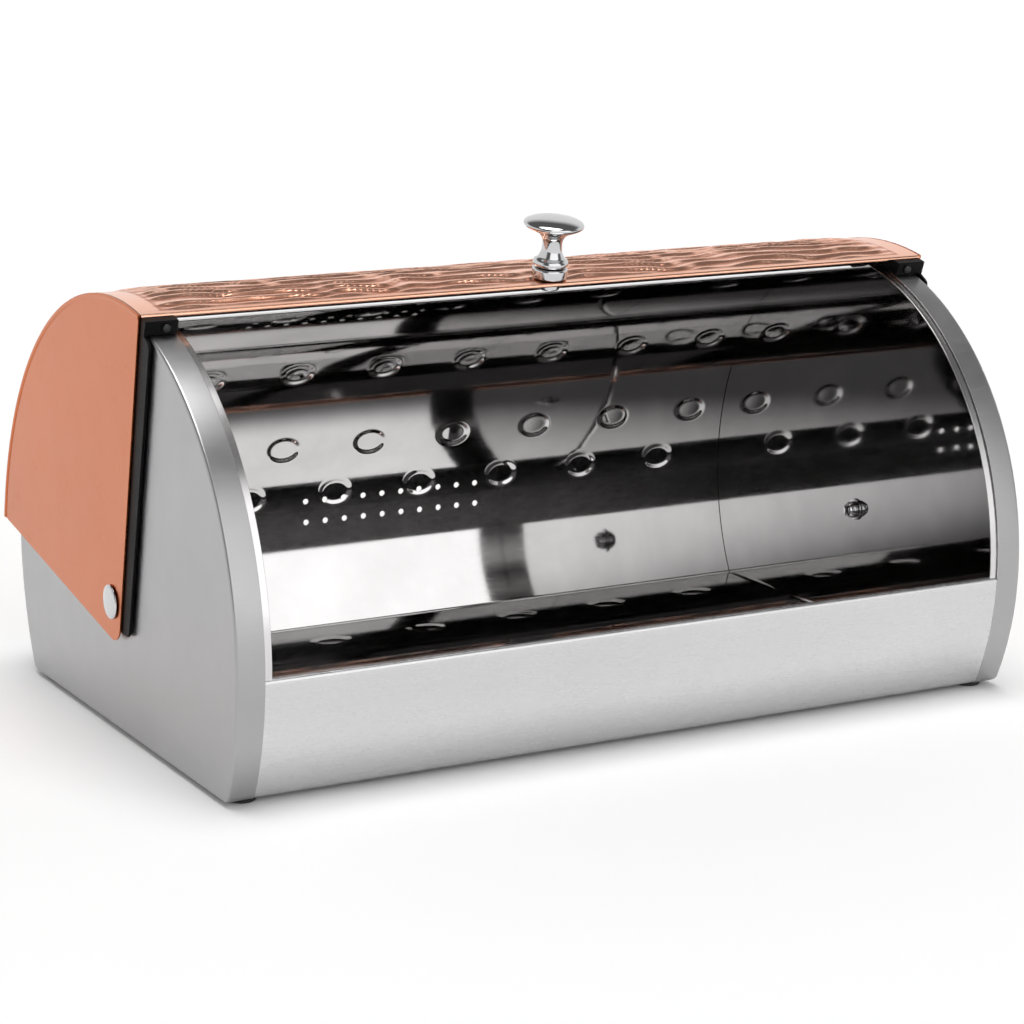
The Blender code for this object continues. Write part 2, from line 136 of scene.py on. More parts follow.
class BreadBoxSizes(bpy.types.PropertyGroup):
    """Sizes that shape the sheets, in metres and radians."""

    drum_radius: FloatProperty(
        name="Drum radius", description="Outside of the end caps' flange", default=134 * MM, unit="LENGTH"
    )
    lid_radius: FloatProperty(
        name="Lid radius", description="Outside of the lid's flatter arc", default=157 * MM, unit="LENGTH"
    )
    lid_front: FloatProperty(
        name="Lid front", description="Turn of the lid's front edge", default=math.radians(77.3),
        subtype="ANGLE",
    )
    lid_rear: FloatProperty(
        name="Lid rear", description="Turn of the lid's rear edge", default=math.radians(169.5),
        subtype="ANGLE",
    )
    roof: FloatProperty(
        name="Roof edge", description="Station of the back sheet's front edge", default=math.radians(78.5),
        subtype="ANGLE",
    )
    lip: FloatProperty(
        name="Front lip", description="Station of the front sheet's top edge", default=math.radians(-3.2),
        subtype="ANGLE",
    )
    base_corner: FloatProperty(
        name="Base corner", description="Rounding between drum and base", default=5 * MM, unit="LENGTH"
    )
    dimple_depth: FloatProperty(
        name="Dimple depth", description="How far the dimples are pressed", default=0.5 * MM, unit="LENGTH"
    )
    ripple_depth: FloatProperty(
        name="Ripple depth", description="Height of the hammered ripples", default=1.15 * MM, unit="LENGTH"
    )
    ripple_pitch: FloatProperty(
        name="Ripple pitch", description="From one ripple to the next", default=8.4 * MM, unit="LENGTH"
    )
    lathe_steps: IntProperty(
        name="Lathe steps", description="Sides of the turned pieces", default=72, min=12, max=256
    )


class BreadBoxColours(bpy.types.PropertyGroup):
    """Colours of the finishes."""

    copper: FloatVectorProperty(
        name="Copper", description="Copper plate", default=(0.86, 0.34, 0.205), subtype="COLOR", size=3
    )
    satin: FloatVectorProperty(
        name="Satin steel", description="Brushed outside steel", default=(0.53, 0.525, 0.53),
        subtype="COLOR", size=3,
    )
    mirror: FloatVectorProperty(
        name="Mirror steel", description="Polished inside steel", default=(0.64, 0.63, 0.63),
        subtype="COLOR", size=3,
    )
    chrome: FloatVectorProperty(
        name="Chrome", description="Knob and fixings", default=(0.62, 0.62, 0.63), subtype="COLOR", size=3
    )
    # Near-zero black: the liners' own black plus painted shade.
    black: FloatVectorProperty(
        name="Black plastic", description="Moulded liners", default=(0.002, 0.002, 0.0022),
        subtype="COLOR", size=3,
    )
    nylon: FloatVectorProperty(
        name="Nylon", description="Pivot bushes", default=(0.72, 0.71, 0.67), subtype="COLOR", size=3
    )
    rubber: FloatVectorProperty(
        name="Rubber", description="Feet", default=(0.018, 0.018, 0.018), subtype="COLOR", size=3
    )


def sizes():
    return bpy.context.scene.bread_box_sizes


def colours():
    return bpy.context.scene.bread_box_colours


# ---------------------------------------------------------------- shader sums


class Wire:
    """A shader socket that sums can be written with."""

    def __init__(self, finish, socket):
        self.finish = finish
        self.socket = socket

    def sum(self, operation, *values):
        return self.finish.add("ShaderNodeMath", {"operation": operation}, dict(enumerate(values)))

    def __add__(self, other):
        return self.sum("ADD", self, other)

    def __radd__(self, other):
        return self.sum("ADD", other, self)

    def __sub__(self, other):
        return self.sum("SUBTRACT", self, other)

    def __rsub__(self, other):
        return self.sum("SUBTRACT", other, self)

    def __mul__(self, other):
        return self.sum("MULTIPLY", self, other)

    def __rmul__(self, other):
        return self.sum("MULTIPLY", other, self)

    def __pow__(self, other):
        return self.sum("POWER", self, other)


class Nodes:
    """A tree of nodes, with one method that adds any node to it."""

    def __init__(self, tree):
        self.tree = tree

    def add(self, kind, settings=None, sockets=None, out=0):
        node = self.tree.nodes.new(kind)
        for key, value in (settings or {}).items():
            if key == "stops":
                self.set_stops(node.color_ramp, value)
            else:
                setattr(node, key, value)
        for key, value in (sockets or {}).items():
            if isinstance(value, Wire):
                self.tree.links.new(value.socket, node.inputs[key])
            else:
                node.inputs[key].default_value = value
        return Wire(self, node.outputs[out])

    @staticmethod
    def set_stops(ramp, stops):
        """Stops are (position, brightness or colour)."""
        while len(ramp.elements) < len(stops):
            ramp.elements.new(1.0)
        for element, (position, value) in zip(ramp.elements, stops):
            element.position = position
            element.color = (value, value, value, 1) if isinstance(value, (int, float)) else (*value, 1)

    def spread(self, wire, low, high, to_low=0.0, to_high=1.0, curve="LINEAR"):
        """Maps one range on another and holds it there."""
        sockets = {0: wire, 1: low, 2: high, 3: to_low, 4: to_high}
        return self.add("ShaderNodeMapRange", {"clamp": True, "interpolation_type": curve}, sockets)

    def soft_step(self, wire, low, high):
        return self.spread(wire, low, high, 0.0, 1.0, "SMOOTHSTEP")


class Finish(Nodes):
    """A material round one Principled shader."""

    def __init__(self, name, colour, metallic, roughness):
        self.material = bpy.data.materials.new(name)
        self.material.use_nodes = True
        super().__init__(self.material.node_tree)
        self.shader = self.tree.nodes["Principled BSDF"]
        self.shader.inputs["Base Color"].default_value = (*colour, 1)
        self.shader.inputs["Metallic"].default_value = metallic
        self.shader.inputs["Roughness"].default_value = roughness
        self.place = Wire(self, self.tree.nodes.new("ShaderNodeTexCoord").outputs["Object"])

    def feed(self, **wires):
        for name, wire in wires.items():
            self.tree.links.new(wire.socket, self.shader.inputs[name.replace("_", " ")])

    def stretched(self, x, y, z):
        """Object coordinates scaled along each axis, in features per metre."""
        sockets = {"Vector": self.place, "Scale": (x, y, z)}
        return self.add("ShaderNodeMapping", {"vector_type": "POINT"}, sockets)

    def noise(self, scale, vector=None, detail=2.0, rough=0.5):
        vector = vector or self.place
        sockets = {"Vector": vector, "Scale": scale, "Detail": detail, "Roughness": rough}
        return self.add("ShaderNodeTexNoise", {}, sockets)

    def tint(self, factor, first, second, blend="MIX"):
        """Mixes two colours; each is a wire or three numbers."""
        node = self.tree.nodes.new("ShaderNodeMix")
        node.data_type = "RGBA"
        node.blend_type = blend
        for key, value in ((0, factor), (6, first), (7, second)):
            if isinstance(value, Wire):
                self.tree.links.new(value.socket, node.inputs[key])
            elif isinstance(value, (int, float)):
                node.inputs[key].default_value = value
            else:
                node.inputs[key].default_value = (*value[:3], 1)
        return Wire(self, node.outputs[2])

    def bump(self, height, distance, strength=1.0, normal=None):
        sockets = {"Height": height, "Distance": distance, "Strength": strength}
        if normal:
            sockets["Normal"] = normal
        return self.add("ShaderNodeBump", {}, sockets)


def shade(colour, amount):
    return tuple(min(1.0, c * amount) for c in colour)


def brushed(name, colour, roughness, grain, grain_depth, blotch=0.08):
    """Satin metal: fine grain drawn out along one axis, and a soft uneven sheen."""
    finish = Finish(name, colour, 1.0, roughness)
    lines = finish.noise(1.0, finish.stretched(*grain), 3.0, 0.65)
    cloud = finish.noise(9.0, None, 3.0, 0.55)
    wear = finish.noise(60.0, None, 4.0, 0.6)
    grey = finish.spread(cloud * 0.6 + lines * 0.4, 0.3, 0.7)
    finish.feed(
        Base_Color=finish.tint(grey, shade(colour, 1 - blotch), shade(colour, 1 + blotch)),
        Roughness=finish.spread(lines * 0.55 + wear * 0.45, 0.3, 0.7, roughness - 0.06, roughness + 0.06),
        Normal=finish.bump(lines, grain_depth),
    )
    return finish


def satin_steel():
    return brushed("satin_steel", shade(colours().satin, 0.78), 0.33, (60, 5200, 5200), 0.006 * MM)


# The front sheet's satin steel brightened 1.24 times, where the end caps take 0.78 times: a painted highlight
# for the sheet that faces the front light.
def front_steel_painted_light():
    return brushed("front_steel_painted_light", shade(colours().satin, 1.24), 0.27, (40, 6000, 6000), 0.004 * MM, 0.03)


def trim_steel():
    return brushed("trim_steel", shade(colours().mirror, 1.08), 0.2, (5200, 60, 60), 0.003 * MM, 0.04)


def satin_copper():
    return brushed("satin_copper", (0.58, 0.17, 0.062), 0.25, (5000, 5000, 50), 0.005 * MM, 0.06)


def mirror_steel():
    """Polished sheet: faint drawing lines along the box, smudges, and a slight waviness."""
    colour = colours().mirror
    finish = Finish("mirror_steel", colour, 1.0, 0.05)
    lines = finish.noise(1.0, finish.stretched(7, 1500, 1500), 2.0, 0.6)
    smudge = finish.noise(22.0, None, 4.0, 0.6)
    waves = finish.noise(1.0, finish.stretched(3, 30, 30), 1.0, 0.4)
    finish.feed(
        Base_Color=finish.tint(finish.spread(smudge, 0.35, 0.7), shade(colour, 0.94), shade(colour, 1.04)),
        Roughness=finish.spread(lines * 0.5 + smudge * 0.5, 0.35, 0.7, 0.025, 0.075),
        Normal=finish.bump(waves, 0.05 * MM, 1.0, finish.bump(lines, 0.0005 * MM)),
    )
    return finish


def hammered_copper_painted_light():
    """Polished copper; the ripples' hollows get a painted shade, darker than the copper, and their crests and
    the plain margins a painted highlight, lighter than it; the hollows are also duller.
    """
    colour = colours().copper
    finish = Finish("hammered_copper_painted_light", colour, 1.0, 0.2)
    relief = finish.add("ShaderNodeAttribute", {"attribute_name": "relief"}, {}, 2)
    cloud = finish.noise(14.0, None, 3.0, 0.55)
    grain = finish.noise(700.0, finish.stretched(1, 1, 1), 3.0, 0.6)
    # Painted light: the crest mask lays a highlight colour on the crests and a shade colour in the grooves.
    crest = finish.spread(relief, 0.0, 0.2)
    body = finish.tint(crest, (0.5, 0.17, 0.08), (1.0, 0.56, 0.4))
    finish.feed(
        Base_Color=finish.tint(finish.spread(cloud, 0.35, 0.7) * 0.35, body, shade(colour, 1.16)),
        Roughness=finish.spread(grain * 0.4 + (1 - crest) * 0.6, 0.1, 0.9, 0.2, 0.36),
        Normal=finish.bump(grain, 0.012 * MM),
    )
    return finish


def chrome():
    colour = colours().chrome
    finish = Finish("chrome", colour, 1.0, 0.04)
    haze = finish.noise(90.0, None, 4.0, 0.6)
    marks = finish.noise(1.0, finish.stretched(2500, 2500, 300), 2.0, 0.5)
    finish.feed(
        Base_Color=finish.tint(finish.spread(haze, 0.35, 0.7), shade(colour, 0.95), shade(colour, 1.02)),
        Roughness=finish.spread(haze * 0.7 + marks * 0.3, 0.35, 0.7, 0.03, 0.085),
        Normal=finish.bump(marks, 0.0006 * MM),
    )
    return finish


# Chrome darkened to 9 %: painted shade on the liner screws, which sit in the dark under the lid.
def screw_painted_shade():
    return brushed("screw_painted_shade", shade(colours().chrome, 0.09), 0.5, (900, 900, 900), 0.01 * MM)


def moulded(name, colour, roughness, grain, depth):
    """Plastic or rubber with a fine moulded grain and slightly polished high spots."""
    finish = Finish(name, colour, 0.0, roughness)
    pits = finish.noise(grain, None, 3.0, 0.6)
    cloud = finish.noise(35.0, None, 3.0, 0.5)
    finish.feed(
        Base_Color=finish.tint(finish.spread(cloud, 0.35, 0.7), shade(colour, 0.8), shade(colour, 1.3)),
        Roughness=finish.spread(pits * 0.6 + cloud * 0.4, 0.3, 0.7, roughness - 0.08, roughness + 0.1),
        Normal=finish.bump(pits, depth),
    )
    return finish


# Near-zero black with weak specular: the plastic's own black plus painted shade for the dark under the lid.
def black_plastic():
    finish = moulded("black_plastic", colours().black, 0.45, 900.0, 0.03 * MM)
    finish.shader.inputs["Specular IOR Level"].default_value = 0.1
    return finish


def nylon():
    return moulded("nylon", colours().nylon, 0.5, 600.0, 0.02 * MM)


def rubber():
    return moulded("rubber", colours().rubber, 0.7, 500.0, 0.05 * MM)


MIXED = {}


def finish_named(maker):
    """Each finish is mixed once and shared by the pieces that wear it."""
    if maker.__name__ not in MIXED:
        MIXED[maker.__name__] = maker().material
    return MIXED[maker.__name__]


# ---------------------------------------------------------------- bench


def clear_bench():
    if bpy.context.mode != "OBJECT":
        bpy.ops.object.mode_set(mode="OBJECT")
    bpy.ops.object.select_all(action="DESELECT")


def pick(obj):
    """Makes one piece the only one selected, and the active one."""
    clear_bench()
    obj.select_set(True)
    bpy.context.view_layer.objects.active = obj


def open_up(obj):
    pick(obj)
    bpy.ops.object.mode_set(mode="EDIT")


def start(name, location):
    """A single corner at a place, in edit mode and selected, from a plane merged to its middle."""
    clear_bench()
    bpy.ops.mesh.primitive_plane_add(size=MM, location=location)
    obj = bpy.context.active_object
    obj.name = name
    bpy.ops.object.transform_apply(location=True, rotation=True, scale=True)
    bpy.ops.object.mode_set(mode="EDIT")
    bpy.ops.mesh.select_mode(type="VERT")
    bpy.ops.mesh.select_all(action="SELECT")
    bpy.ops.mesh.merge(type="CENTER")
    return obj


def draw_on(points, here):
    """Extrudes the selection from point to point, as steps away from here."""
    here = Vector(here)
    for point in points:
        point = Vector(point)
        bpy.ops.mesh.extrude_region_move(TRANSFORM_OT_translate={"value": point - here})
        here = point


def draw(name, points):
    """A row of joined corners."""
    obj = start(name, points[0])
    draw_on(points[1:], points[0])
    return obj


def line_along_x(name, point, half, pieces):
    """A straight row of corners along the box, still in edit mode and selected."""
    clear_bench()
    bpy.ops.mesh.primitive_grid_add(x_subdivisions=pieces, y_subdivisions=1, size=1)
    obj = bpy.context.active_object
    obj.name = name
    for vertex in obj.data.vertices:
        vertex.co = (2 * half * vertex.co.x, point.y + vertex.co.y, point.z)
    bpy.ops.object.mode_set(mode="EDIT")
    bpy.ops.mesh.select_mode(type="VERT")
    choose(obj, lambda co: co.y > point.y)
    bpy.ops.mesh.delete(type="VERT")
    bpy.ops.mesh.select_all(action="SELECT")
    bpy.ops.transform.translate(value=(0, 0.5, 0))
    return obj


def choose(obj, test, kind="VERT"):
    """Opens a piece for editing with those corners or faces selected whose place passes the test."""
    open_up(obj)
    bpy.ops.mesh.select_mode(type=kind)
    bpy.ops.mesh.select_all(action="DESELECT")
    bpy.ops.object.mode_set(mode="OBJECT")
    if kind == "VERT":
        for vertex in obj.data.vertices:
            vertex.select = test(vertex.co)
    else:
        for polygon in obj.data.polygons:
            polygon.select = test(polygon.center, polygon.normal)
    bpy.ops.object.mode_set(mode="EDIT")


def sweep(angle, centre, steps):
    """Spins the selection about a line along X; a positive angle goes up at the front and over the top."""
    bpy.ops.mesh.spin(steps=steps, angle=angle, center=centre, axis=X_AXIS)


def tidy(obj, merge=0.005 * MM):
    """Joins doubled corners and turns all faces the same way out."""
    bpy.ops.mesh.select_all(action="SELECT")
    bpy.ops.mesh.remove_doubles(threshold=merge)
    bpy.ops.mesh.normals_make_consistent(inside=False)
    bpy.ops.object.mode_set(mode="OBJECT")
    return obj


def apply_modifier(obj, kind, **settings):
    pick(obj)
    modifier = obj.modifiers.new(kind.lower(), kind)
    for key, value in settings.items():
        setattr(modifier, key, value)
    bpy.ops.object.modifier_apply(modifier=modifier.name)


def thicken(obj, thickness=SHEET):
    """Gives a skin its sheet thickness on the side away from its normals."""
    apply_modifier(obj, "SOLIDIFY", thickness=thickness, offset=-1.0, use_even_offset=True)


def displace(obj, group, strength):
    """Moves a piece's corners along their normals by a vertex group's share of the strength."""
    apply_modifier(
        obj, "DISPLACE", strength=strength, mid_level=0.0, vertex_group=group, direction="NORMAL"
    )
    obj.vertex_groups.clear()


def soften(obj, width, segments=2, angle=35.0):
    apply_modifier(
        obj, "BEVEL", width=width, segments=segments, limit_method="ANGLE", angle_limit=math.radians(angle),
        harden_normals=False, use_clamp_overlap=True,
    )


def smooth(obj, angle=35.0, flats=False):
    """Smooths the shading between faces that meet at less than the angle; flats stay truly flat."""
    pick(obj)
    bpy.ops.object.shade_smooth_by_angle(angle=math.radians(angle))
    if flats:
        apply_modifier(obj, "WEIGHTED_NORMAL", keep_sharp=True, weight=100)


def dress(obj, finish, slot, body, *nodes):
    """Puts the finish on a piece, says what it rides on, and hides the frame solids it stands for."""
    obj.data.materials.clear()
    obj.data.materials.append(finish_named(finish))
    obj.data.name = obj.name
    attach(obj, body)
    if nodes:
        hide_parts(*nodes)
    clear_bench()


def merged_copy(node, name):
    """A copy of a frame solid with its own mesh, its triangles joined and its flats made whole."""
    clear_bench()
    obj = frame["nodes"][node].copy()
    obj.data = frame["nodes"][node].data.copy()
    bpy.context.scene.collection.objects.link(obj)
    obj.parent = None
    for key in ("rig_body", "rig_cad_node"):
        del obj[key]
    obj.name = name
    pick(obj)
    if obj.data.has_custom_normals:
        bpy.ops.mesh.customdata_custom_splitnormals_clear()
    bpy.ops.object.mode_set(mode="EDIT")
    bpy.ops.mesh.select_all(action="SELECT")
    bpy.ops.mesh.remove_doubles(threshold=TINY / 4)
    bpy.ops.mesh.dissolve_limited(angle_limit=math.radians(0.4))
    bpy.ops.object.mode_set(mode="OBJECT")
    return obj


def join(main_piece, others):
    clear_bench()
    for obj in [*others, main_piece]:
        obj.select_set(True)
    bpy.context.view_layer.objects.active = main_piece
    bpy.ops.object.join()


# ---------------------------------------------------------------- places


def station_point(radius, station, x=0.0):
    """A point of the drum, from its radius and station about the pivot."""
    return PIVOT + Vector((x, -radius * math.cos(station), radius * math.sin(station)))


def lid_point(inset, turn, x=0.0):
    radius = sizes().lid_radius - inset
    return LID_CENTRE + Vector((x, -radius * math.cos(turn), radius * math.sin(turn)))


def corner_at(side):
    """Centre of the rounded corner between drum and base, and the angle where it meets the drum."""
    radius = sizes().base_corner
    height = PIVOT.z - BASE - radius
    reach = sizes().drum_radius - radius
    centre = PIVOT + Vector((0, side * math.sqrt(reach**2 - height**2), -height))
    return centre, math.asin(height / reach)


# ---------------------------------------------------------------- pressed shapes


def dish_profile(away):
    """Depth of a pressed dish from 0 to 1: steep soft edges and a middle that domes back a little."""
    flat = 0.66
    if away < flat:
        return 1 - 0.22 * (1 - (away / flat) ** 2)
    return 1 - ramp_up(away, flat, 1.0)


def ramp_up(value, low, high):
    t = max(0.0, min(1.0, (value - low) / (high - low)))
    return t * t * (3 - 2 * t)


def press_dimples(obj, dimples, half, place_of, on_sheet, centre=None, radius=0.0):
    """Refines the sheet round each oval dimple and presses it away from the side that the normals face.

    Dimples are middles as (across, along) and half is their half lengths; place_of gives a corner's own.
    """
    margin = 2.4 * MM

    def near(co, _normal):
        u, v = place_of(co)
        close = any(abs(u - du) < half[0] + margin and abs(v - dv) < half[1] + margin for du, dv in dimples)
        return close and on_sheet(co)

    choose(obj, near, "FACE")
    bpy.ops.mesh.subdivide(number_cuts=3, smoothness=0)
    bpy.ops.object.mode_set(mode="OBJECT")
    group = obj.vertex_groups.new(name="pressed")
    for vertex in obj.data.vertices:
        if not on_sheet(vertex.co):
            continue
        if centre:
            arm = (vertex.co - centre).yz.normalized() * radius
            vertex.co.yz = (centre.y + arm.x, centre.z + arm.y)
        u, v = place_of(vertex.co)
        depth = dish_profile(min(math.hypot((u - du) / half[0], (v - dv) / half[1]) for du, dv in dimples))
        if depth > 0:
            group.add([vertex.index], depth, "REPLACE")
    displace(obj, "pressed", -sizes().dimple_depth)


# ---------------------------------------------------------------- wall sheets


def station_of(co):
    return math.atan2(co.z - PIVOT.z, PIVOT.y - co.y) % math.tau


def dimple_rows():
    """Middles of the back sheet's dimples, as X and station, the rows staggered down the wall."""
    rows = ((145.7, -14 * MM, range(-3, 5)), (165.6, -14 * MM, range(-3, 5)), (176.5, 16 * MM, range(-4, 4)))
    return [
        (shift + BACK_DIMPLE_PITCH * k, math.radians(station))
        for station, shift, places in rows
        for k in places
    ]


def face_towards(obj, point):
    """Turns all faces of an open skin over, if its largest look away from the point."""
    polygon = max(obj.data.polygons, key=lambda p: p.area)
    if polygon.normal.dot(point - polygon.center) < 0:
        open_up(obj)
        bpy.ops.mesh.select_all(action="SELECT")
        bpy.ops.mesh.flip_normals()
        bpy.ops.object.mode_set(mode="OBJECT")


def fold(obj, station, skin_radius, turn_radius, way):
    """Folds the edge at a station inwards and back on itself, as a safe edge."""
    choose(obj, lambda co: abs(station_of(co) - station % math.tau) < 1e-4 and co.y < PIVOT.y)
    sweep(way * math.pi, station_point(skin_radius - turn_radius, station), 8)
    back = Vector((0, math.sin(station), math.cos(station))) * (-way * HEM)
    bpy.ops.mesh.extrude_region_move(TRANSFORM_OT_translate={"value": back})


class BREADBOX_OT_back_panel(bpy.types.Operator):
    """Back sheet: roof, back wall and turned-in toe, with dimples, vent holes and a folded front edge"""

    bl_idname = "bread_box.back_panel"
    bl_label = "Back panel"

    def execute(self, context):
        inner = sizes().drum_radius - 2 * SHEET - GAP
        roof = sizes().roof
        centre, below = corner_at(1)
        last = math.pi + below
        obj = line_along_x("back_sheet", station_point(inner, roof), WALL_HALF, 132)
        sweep(last - roof, PIVOT, 96)
        sweep(math.pi / 2 - below, centre, 6)
        bpy.ops.mesh.extrude_region_move(TRANSFORM_OT_translate={"value": (0, -TOE, 0)})
        fold(obj, roof, inner, ROOF_TURN, -1)
        tidy(obj)
        face_towards(obj, PIVOT)
        self.press(obj, inner)
        thicken(obj)
        self.pierce(obj)
        smooth(obj, 50)
        dress(obj, mirror_steel, "mirror_steel", "body", "back_panel")
        return {"FINISHED"}

    @staticmethod
    def press(obj, inner):
        dimples = [(x, inner * station) for x, station in dimple_rows()]

        def place_of(co):
            return co.x, inner * station_of(co)

        def on_wall(co):
            return abs((co - PIVOT).yz.length - inner) < 0.1 * MM

        press_dimples(obj, dimples, BACK_DIMPLE, place_of, on_wall, PIVOT, inner)

    @staticmethod
    def pierce(obj):
        """Two rows of round vent holes through the back wall."""
        punches = []
        for station in VENT_STATIONS:
            for column in range(VENT_COLUMNS):
                x = (column - (VENT_COLUMNS - 1) / 2) * VENT_PITCH
                place = station_point(sizes().drum_radius, math.radians(station), x)
                clear_bench()
                bpy.ops.mesh.primitive_cylinder_add(
                    vertices=20, radius=VENT_RADIUS, depth=8 * MM, location=place,
                    rotation=(math.radians(270 - station), 0, 0),
                )
                punches.append(bpy.context.active_object)
        join(punches[0], punches[1:])
        punch = punches[0]
        apply_modifier(obj, "BOOLEAN", operation="DIFFERENCE", solver="EXACT", object=punch)
        bpy.data.objects.remove(punch)


class BREADBOX_OT_front_panel(bpy.types.Operator):
    """Front sheet: a low curved wall with a rounded lip folded inwards and a turned-in toe"""

    bl_idname = "bread_box.front_panel"
    bl_label = "Front panel"

    def execute(self, context):
        skin = sizes().drum_radius - SHEET - GAP
        lip = sizes().lip
        centre, below = corner_at(-1)
        obj = line_along_x("front_sheet", station_point(skin, lip), WALL_HALF, 100)
        sweep(-(below + lip), PIVOT, 24)
        sweep(-(math.pi / 2 - below), centre, 8)
        bpy.ops.mesh.extrude_region_move(TRANSFORM_OT_translate={"value": (0, TOE, 0)})
        fold(obj, lip, skin, LIP_TURN, 1)
        tidy(obj)
        face_towards(obj, station_point(1, lip))
        thicken(obj)
        smooth(obj, 50)
        dress(obj, front_steel_painted_light, "satin_steel", "body", "front_panel")
        return {"FINISHED"}


class BREADBOX_OT_floor_panel(bpy.types.Operator):
    """Flat floor sheet with one row of pressed dimples towards the back"""

    bl_idname = "bread_box.floor_panel"
    bl_label = "Floor panel"

    def execute(self, context):
        clear_bench()
        depth = FLOOR_BACK - FLOOR_FRONT
        middle = Vector((0, (FLOOR_BACK + FLOOR_FRONT) / 2, FLOOR_TOP))
        bpy.ops.mesh.primitive_grid_add(x_subdivisions=132, y_subdivisions=76, size=1)
        obj = bpy.context.active_object
        obj.name = "floor_sheet"
        for vertex in obj.data.vertices:
            vertex.co = middle + Vector((vertex.co.x * 2 * WALL_HALF, vertex.co.y * depth, 0))
        row = PIVOT.y + FLOOR_DIMPLE_ROW
        dimples = [(-2 * MM + FLOOR_DIMPLE_PITCH * k, row) for k in range(-3, 4)]
        press_dimples(obj, dimples, FLOOR_DIMPLE, lambda co: (co.x, co.y), lambda co: True)
        thicken(obj, FLOOR_TOP - FLOOR_LOW)
        soften(obj, 0.2 * MM)
        smooth(obj, 50)
        dress(obj, mirror_steel, "mirror_steel", "body", "floor_panel")
        return {"FINISHED"}


class BREADBOX_OT_end_caps(bpy.types.Operator):
    """End caps: pressed pans with a rounded rim and a flange turned in over the drum"""

    bl_idname = "bread_box.end_caps"
    bl_label = "End caps"

    def execute(self, context):
        for side in ("left", "right"):
            obj = merged_copy(f"end_cap_{side}", f"cap_{side}")
            soften(obj, 0.28 * MM, 2, 50)
            smooth(obj, 60, True)
            dress(obj, satin_steel, "satin_steel", "body", f"end_cap_{side}")
            self.polish_inside(obj)
        return {"FINISHED"}

    @staticmethod
    def polish_inside(obj):
        """The inside of the cap is polished like the other inside walls."""
        obj.data.materials.append(finish_named(mirror_steel))
        for polygon in obj.data.polygons:
            inside = abs(polygon.center.x) < END_INSIDE + 0.1 * MM
            if inside and polygon.normal.x * polygon.center.x < -0.5 * abs(polygon.center.x):
                polygon.material_index = 1


class BREADBOX_OT_opening_trims(bpy.types.Operator):
    """Bright bands that edge the opening beside the end caps' flanges"""

    bl_idname = "bread_box.opening_trims"
    bl_label = "Opening trims"

    def execute(self, context):
        for side in ("left", "right"):
            obj = merged_copy(f"opening_trim_{side}", f"trim_{side}")
            soften(obj, 0.2 * MM, 3, 50)
            smooth(obj, 60, True)
            dress(obj, trim_steel, "mirror_steel", "body", f"opening_trim_{side}")
        return {"FINISHED"}


# ---------------------------------------------------------------- lid


def ripple(x, arc):
    """Height of the hammered pattern from 0 to 1: wavy ripples that fork and fade, steep at the front."""
    pitch = sizes().ripple_pitch
    bend = noise.noise(Vector((x / (15 * MM), arc / (22 * MM), 3.7)))
    sway = noise.noise(Vector((x / (46 * MM), arc / (60 * MM), 9.1)))
    fork = noise.noise(Vector((x / (21 * MM), arc / (13 * MM), 5.3)))
    phase = (arc / pitch + 0.5 * bend + 0.8 * sway + 0.3 * fork) % 1.0
    rise = 0.2
    crest = ramp_up(phase, 0.0, rise) if phase < rise else 1 - ramp_up(phase, rise, 1.0)
    fade = 0.95 + 0.55 * noise.noise(Vector((x / (18 * MM), arc / (9 * MM), 1.3)))
    return max(0.0, min(1.0, crest * fade))


class BREADBOX_OT_lid_sheet(bpy.types.Operator):
    """Lid sheet: rolled copper hammered with ripples, plain at its margins, its front edge folded under"""

    bl_idname = "bread_box.lid_sheet"
    bl_label = "Lid sheet"

    def execute(self, context):
        front, rear = sizes().lid_front, sizes().lid_rear
        radius = sizes().lid_radius
        obj = line_along_x("lid_top", lid_point(0, front), LID_SHEET_HALF, 154)
        sweep(rear - front, LID_CENTRE, 300)
        tidy(obj)
        face_towards(obj, LID_CENTRE + Vector((0, 0, 1)))
        self.hammer(obj, radius, front, rear)
        choose(obj, lambda co: (co - lid_point(0, front, co.x)).length < TINY)
        sweep(-math.pi, lid_point(LID_TURN, front), 8)
        back = Vector((0, math.sin(front), math.cos(front))) * LID_HEM
        bpy.ops.mesh.extrude_region_move(TRANSFORM_OT_translate={"value": back})
        bpy.ops.object.mode_set(mode="OBJECT")
        thicken(obj)
        smooth(obj, 60)
        dress(obj, hammered_copper_painted_light, "copper", "lid", "lid_sheet")
        return {"FINISHED"}

    @staticmethod
    def hammer(obj, radius, front, rear):
        """Presses the ripples outwards and keeps their height on the mesh for the finish to read."""
        half = LID_SHEET_HALF
        length = radius * (rear - front)
        heights = []
        for vertex in obj.data.vertices:
            arm = vertex.co - LID_CENTRE
            arc = radius * (math.atan2(arm.z, -arm.y) - front)
            edge = ramp_up(half - abs(vertex.co.x), 9 * MM, 19 * MM)
            edge *= ramp_up(arc, 2.6 * MM, 6 * MM) * ramp_up(length - arc, 6 * MM, 12 * MM)
            heights.append(edge * ripple(vertex.co.x, arc))
        group = obj.vertex_groups.new(name="ripples")
        for index, height in enumerate(heights):
            group.add([index], height, "REPLACE")
        relief = obj.data.attributes.new("relief", "FLOAT", "POINT")
        # Plain margins read as crests, so the finish paints them with the highlight colour.
        relief.data.foreach_set("value", [h if h > 0 else 0.45 for h in heights])
        displace(obj, "ripples", sizes().ripple_depth)


